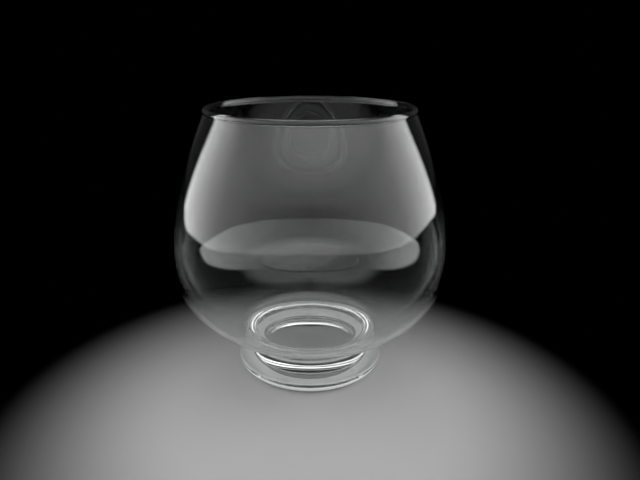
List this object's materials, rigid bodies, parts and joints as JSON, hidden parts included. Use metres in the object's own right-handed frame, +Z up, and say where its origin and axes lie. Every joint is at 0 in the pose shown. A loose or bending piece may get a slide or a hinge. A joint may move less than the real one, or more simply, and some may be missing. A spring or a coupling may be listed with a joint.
{
  "type": "footed glass ball vase",
  "caption": "Clear glass vase: a thin ball-shaped bowl with a rounded, drawn-in mouth, on a short neck and a round tucked-in foot.",
  "frame": {"origin": "centre of the flat ring that the vase stands on", "axes": "+Z up along the axis that both pieces are turned about, towards the mouth"},
  "size_m": [0.1966, 0.1966, 0.19],
  "materials": {
    "bowl_glass": "clear colourless blown glass, fire polished",
    "foot_glass": "clear colourless pressed glass, ground white on the resting ring and the tucked-in side above it"
  },
  "bodies": {
    "root": {"bowl": "bowl_glass", "foot": "foot_glass"}
  },
  "joints": []
}
